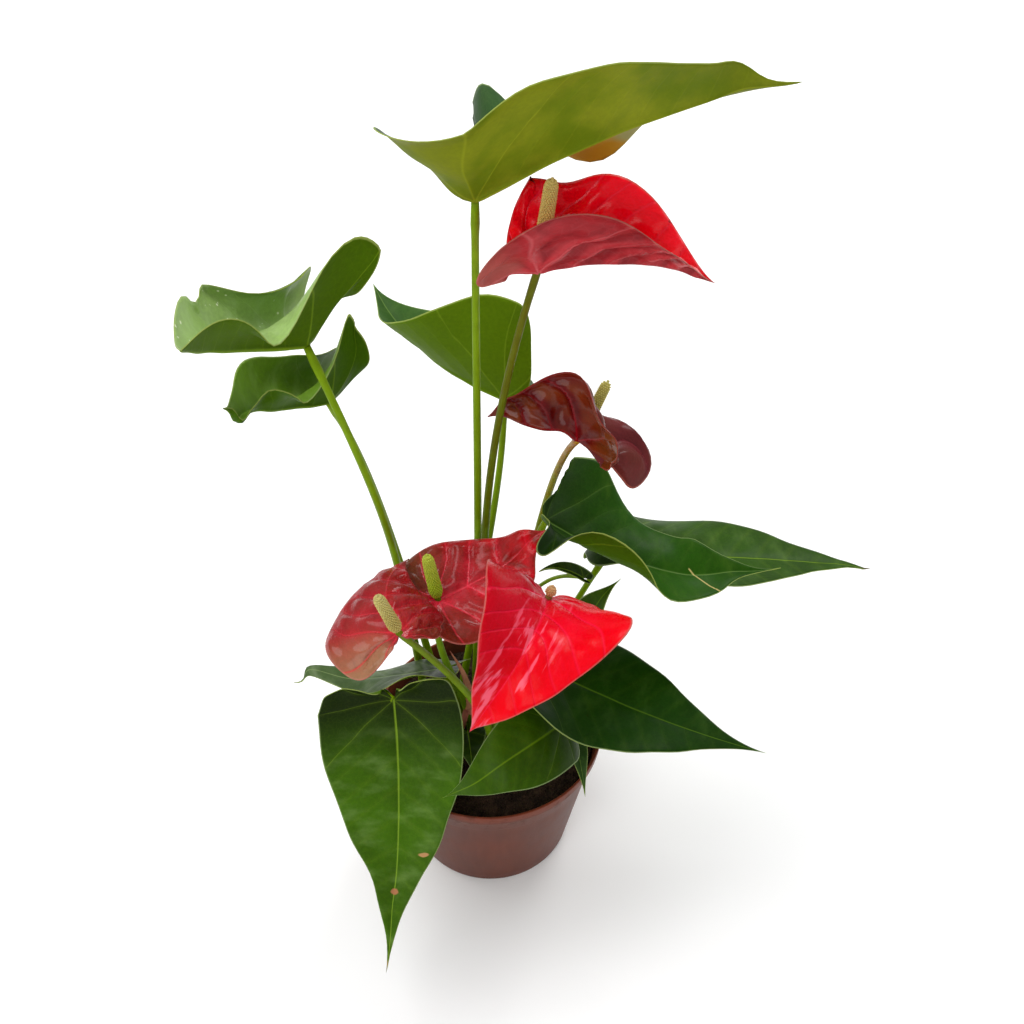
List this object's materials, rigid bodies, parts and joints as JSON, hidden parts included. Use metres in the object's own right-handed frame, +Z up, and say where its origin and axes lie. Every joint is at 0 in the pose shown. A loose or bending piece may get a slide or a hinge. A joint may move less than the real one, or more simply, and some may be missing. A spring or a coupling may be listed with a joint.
{
  "type": "potted flamingo flower",
  "caption": "Anthurium with waved heart-shaped leaves and waxy red spathes on tall stalks, growing in a round tapered plastic nursery pot.",
  "frame": {"origin": "middle of the pot's flat base, on the surface that it stands on", "axes": "+Z is up, -Y is the front where the large leaf hangs, +X is to the right when looking along +Y"},
  "size_m": [0.3053, 0.244, 0.4819],
  "materials": {
    "leaf_green": "satin",
    "stalk_green": "satin",
    "spathe_red": "gloss",
    "spathe_maroon": "gloss",
    "spathe_rose": "gloss",
    "spadix_cream": "matte",
    "sheath_brown": "matte",
    "shoot_pink": "satin",
    "pot_brown": "satin",
    "soil_brown": "matte"
  },
  "bodies": {
    "root": {"leaf_top": "leaf_green", "leaf_left_upper": "leaf_green", "leaf_left_lower": "leaf_green", "leaf_behind": "leaf_green", "leaf_right_near": "leaf_green", "leaf_right_far": "leaf_green", "leaf_right_low": "leaf_green", "leaf_front_small": "leaf_green", "leaf_front_large": "leaf_green", "leaf_left_low": "leaf_green", "leaf_small_left": "leaf_green", "leaf_small_right": "leaf_green", "leaf_rim": "leaf_green", "leaf_soil": "leaf_green", "sheath_front": "sheath_brown", "peduncle_top": "stalk_green", "spathe_top": "spathe_red", "spadix_top": "spadix_cream", "peduncle_middle": "stalk_green", "spathe_middle": "spathe_maroon", "spadix_middle": "spadix_cream", "peduncle_centre": "stalk_green", "spathe_centre": "spathe_rose", "spadix_centre": "spadix_cream", "peduncle_left": "stalk_green", "spathe_left": "spathe_rose", "spadix_left": "spadix_cream", "peduncle_front": "stalk_green", "spathe_front": "spathe_red", "spadix_front": "spadix_cream", "new_shoot": "shoot_pink", "pot": "pot_brown", "soil": "soil_brown"}
  },
  "joints": []
}
